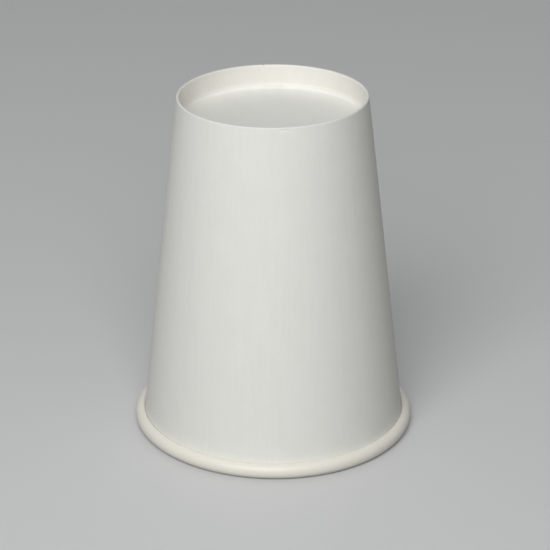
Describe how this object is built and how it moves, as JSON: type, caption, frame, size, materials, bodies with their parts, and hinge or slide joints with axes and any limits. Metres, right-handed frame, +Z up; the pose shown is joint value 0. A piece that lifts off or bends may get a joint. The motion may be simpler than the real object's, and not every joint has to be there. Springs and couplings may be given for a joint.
{
  "type": "paper cup",
  "caption": "Plain white paper cup standing upside down on its rolled rim, with a tapered wall, a lapped seam at the back and a dished base disc held in a folded edge.",
  "frame": {"origin": "middle of the mouth, at the height of the rolled rim's lowest line", "axes": "+Z up from the mouth to the base, because the cup stands upside down; -Y to the front; the side seam is at +Y"},
  "size_m": [0.09, 0.09, 0.112],
  "materials": {
    "wall_board": "white coated paperboard, matt outside and satin on the drink face",
    "disc_board": "white coated paperboard, matt underneath and satin on the drink face"
  },
  "bodies": {
    "root": {"side_wall": "wall_board", "base_disc": "disc_board"}
  },
  "joints": []
}
